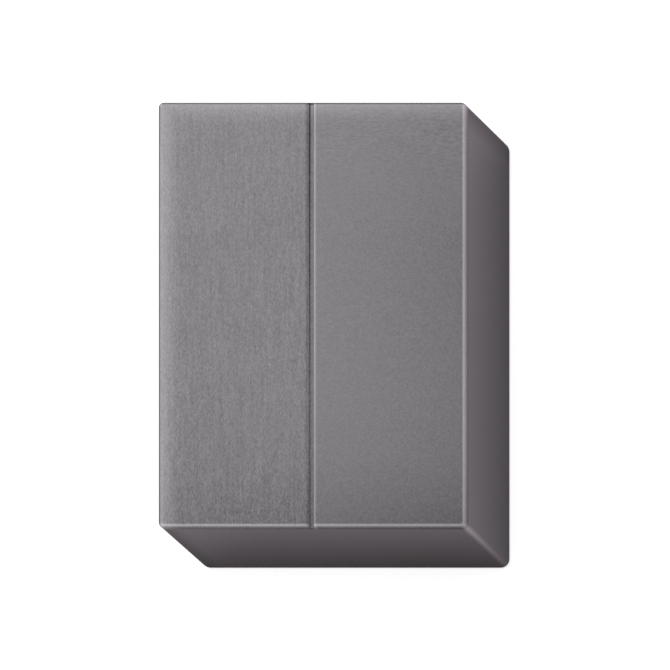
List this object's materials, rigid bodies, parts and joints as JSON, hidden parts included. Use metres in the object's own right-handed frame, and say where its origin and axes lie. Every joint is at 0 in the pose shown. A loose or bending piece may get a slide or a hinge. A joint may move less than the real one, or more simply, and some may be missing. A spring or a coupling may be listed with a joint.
{
  "type": "prismatic battery cell",
  "caption": "Flat rectangular lithium cell in a satin dark metal can with a pressed centre bead, flat weld terminals and a vent on one end.",
  "frame": {"origin": "bottom centre of the whole cell's box, on the plain wide face that it lies on", "axes": "+X across the width towards the negative terminal, +Y along the length towards the terminals, +Z through the thickness towards the beaded wide face"},
  "size_m": [0.134, 0.188, 0.029],
  "materials": {
    "can_metal": "satin, finely brushed, dark grey",
    "cover_metal": "satin rolled",
    "terminal_metal": "fine machined",
    "conductor_aluminium": "plain",
    "conductor_copper": null,
    "vent_foil": "thin scored sheet",
    "foil_aluminium": "foil",
    "foil_copper": null,
    "black_plastic": "moulded",
    "tray_plastic": "moulded",
    "seal_rubber": "moulded",
    "clear_film": "clear",
    "sleeve_film": "translucent film",
    "binding_tape": "film tape",
    "wound_electrodes": "white separator film outside"
  },
  "bodies": {
    "root": {"can": "can_metal", "cover_plate": "cover_metal", "vent_disc": "vent_foil", "vent_guard_film": "clear_film", "fill_plug": "seal_rubber", "fill_cap": "cover_metal", "insulating_sleeve": "sleeve_film", "base_tray": "tray_plastic", "positive_terminal_pad": "terminal_metal", "positive_upper_insulator": "black_plastic", "positive_post": "conductor_aluminium", "positive_seal": "seal_rubber", "positive_lower_insulator": "black_plastic", "positive_collector": "conductor_aluminium", "left_positive_weld_plate": "conductor_aluminium", "right_positive_weld_plate": "conductor_aluminium", "negative_terminal_pad": "terminal_metal", "negative_upper_insulator": "black_plastic", "negative_post": "conductor_copper", "negative_seal": "seal_rubber", "negative_lower_insulator": "black_plastic", "negative_collector": "conductor_copper", "left_negative_weld_plate": "conductor_copper", "right_negative_weld_plate": "conductor_copper", "left_front_positive_tab": "foil_aluminium", "left_back_positive_tab": "foil_aluminium", "right_front_positive_tab": "foil_aluminium", "right_back_positive_tab": "foil_aluminium", "left_front_negative_tab": "foil_copper", "left_back_negative_tab": "foil_copper", "right_front_negative_tab": "foil_copper", "right_back_negative_tab": "foil_copper", "left_front_roll": "wound_electrodes", "left_back_roll": "wound_electrodes", "right_front_roll": "wound_electrodes", "right_back_roll": "wound_electrodes", "left_lower_tape": "binding_tape", "left_upper_tape": "binding_tape", "right_lower_tape": "binding_tape", "right_upper_tape": "binding_tape"}
  },
  "joints": []
}
